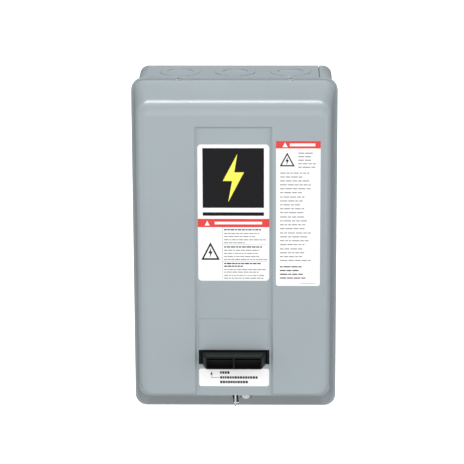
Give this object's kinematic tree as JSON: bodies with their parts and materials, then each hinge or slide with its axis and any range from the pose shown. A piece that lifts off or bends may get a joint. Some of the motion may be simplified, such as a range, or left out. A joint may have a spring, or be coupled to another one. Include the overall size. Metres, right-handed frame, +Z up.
{
  "type": "magnetic motor starter",
  "caption": "Sheet-steel wall box with a deep drawn cover and push-to-reset button, holding a contactor above a thermal overload relay.",
  "frame": {"origin": "centre of the box back face, which lies on the wall", "axes": "+Z up, front faces -Y, +X to the right seen from the front"},
  "size_m": [0.175, 0.1465, 0.2943],
  "materials": {
    "cover_enamel": "semi-gloss blue-grey baked enamel",
    "box_enamel": "semi-gloss blue-grey baked enamel",
    "zinc": "bright zinc plate",
    "label_film": "satin printed film",
    "button_black": "satin black moulding",
    "phenolic": "matt black phenolic moulding",
    "grey_moulding": "matt grey moulding",
    "copper": "tinned or bare copper strip",
    "silver_plate": "silver-plated strip",
    "brass": "plain brass",
    "laminated_steel": "ground laminated steel",
    "winding_tape": "varnished winding tape",
    "spring_steel": "spring wire",
    "green_screw": "green chromate",
    "wire_black": "PVC insulation"
  },
  "bodies": {
    "enclosure": {"box_sides": "box_enamel", "box_back": "box_enamel", "cover_hooks": "zinc", "hasp_bracket": "zinc", "mounting_plate": "zinc", "plate_standoffs": "zinc", "plate_screws": "zinc", "ground_lug": "zinc", "ground_screw": "green_screw", "contactor_base": "phenolic", "contact_housing": "phenolic", "magnet_core": "laminated_steel", "shading_rings": "copper", "coil_bobbin": "grey_moulding", "coil_winding": "winding_tape", "coil_terminals": "brass", "coil_screws": "zinc", "line_contacts": "silver_plate", "load_contacts": "silver_plate", "line_screws": "zinc", "load_screws": "zinc", "arc_cover": "grey_moulding", "arc_cover_screws": "zinc", "auxiliary_block": "phenolic", "auxiliary_screws": "zinc", "overload_base": "phenolic", "overload_front": "phenolic", "thermal_units": "silver_plate", "thermal_unit_screws": "zinc", "motor_terminals": "silver_plate", "motor_terminal_screws": "zinc", "jumper_straps": "copper", "control_terminals": "brass", "control_screws": "zinc", "control_wires": "wire_black"},
    "cover": {"front_cover": "cover_enamel", "closing_plate": "cover_enamel", "reset_guide": "zinc", "main_label": "label_film", "warning_label": "label_film", "reset_label": "label_film", "wiring_label": "label_film"},
    "cover_screw": {"cover_screw": "zinc"},
    "screw_washer": {"screw_retainer": "spring_steel"},
    "reset_button": {"reset_button": "button_black", "reset_button_springs": "spring_steel"},
    "reset_rod": {"reset_rod": "grey_moulding", "reset_rod_spring": "spring_steel"},
    "contact_carrier": {"contact_carrier": "phenolic", "armature": "laminated_steel", "armature_pin": "zinc", "auxiliary_plunger": "grey_moulding", "return_springs": "spring_steel"},
    "contact_bridges": {"contact_bridges": "copper", "contact_springs": "spring_steel"},
    "trip_slide": {"trip_slide": "grey_moulding", "trip_spring": "spring_steel"},
    "ratchet_left": {"ratchet_wheel_left": "brass"},
    "ratchet_middle": {"ratchet_wheel_middle": "brass"},
    "ratchet_right": {"ratchet_wheel_right": "brass"}
  },
  "joints": [
    {"name": "cover_swing", "type": "hinge", "parent": "enclosure", "child": "cover", "pos_m": [0, -0.0725, 0.1472], "axis": [-1, 0, 0], "range_deg": [0, 30]},
    {"name": "screw_advance", "type": "slide", "parent": "cover", "child": "screw_washer", "axis": [0, -1, 0], "range_m": [0, 0.00635]},
    {"name": "screw_turn", "type": "hinge", "parent": "screw_washer", "child": "cover_screw", "pos_m": [0.0098, -0.11, -0.1198], "axis": [0, -1, 0], "range_deg": [0, 2160]},
    {"name": "button_push", "type": "slide", "parent": "cover", "child": "reset_button", "axis": [0, 1, 0], "range_m": [0, 0.005], "stiffness_N_per_m": 400, "deforming": ["reset_button_springs"]},
    {"name": "rod_push", "type": "slide", "parent": "enclosure", "child": "reset_rod", "axis": [0, 1, 0], "range_m": [0, 0.005], "stiffness_N_per_m": 200, "deforming": ["reset_rod_spring"]},
    {"name": "carrier_pull_in", "type": "slide", "parent": "enclosure", "child": "contact_carrier", "axis": [0, 1, 0], "range_m": [0, 0.0053], "stiffness_N_per_m": 800, "deforming": ["return_springs"]},
    {"name": "bridge_close", "type": "slide", "parent": "enclosure", "child": "contact_bridges", "axis": [0, 1, 0], "range_m": [0, 0.004], "deforming": ["contact_springs"]},
    {"name": "slide_trip", "type": "slide", "parent": "enclosure", "child": "trip_slide", "axis": [1, 0, 0], "range_m": [0, 0.002], "stiffness_N_per_m": 100, "deforming": ["trip_spring"]},
    {"name": "ratchet_left_turn", "type": "hinge", "parent": "enclosure", "child": "ratchet_left", "pos_m": [-0.026, -0.0355, -0.046], "axis": [0, 1, 0], "range_deg": [-26, 0]},
    {"name": "ratchet_middle_turn", "type": "hinge", "parent": "enclosure", "child": "ratchet_middle", "pos_m": [0, -0.0355, -0.046], "axis": [0, 1, 0], "range_deg": [-26, 0]},
    {"name": "ratchet_right_turn", "type": "hinge", "parent": "enclosure", "child": "ratchet_right", "pos_m": [0.026, -0.0355, -0.046], "axis": [0, 1, 0], "range_deg": [-26, 0]}
  ],
  "couplings": [
    {"joint": "screw_advance", "follows": "screw_turn", "m_per_rad": 0.00016844},
    {"joint": "rod_push", "follows": "button_push", "ratio": 1},
    {"joint": "bridge_close", "follows": "carrier_pull_in", "ratio": 0.75472},
    {"joint": "ratchet_left_turn", "follows": "slide_trip", "rad_per_m": -222.22},
    {"joint": "ratchet_middle_turn", "follows": "slide_trip", "rad_per_m": -222.22},
    {"joint": "ratchet_right_turn", "follows": "slide_trip", "rad_per_m": -222.22}
  ]
}
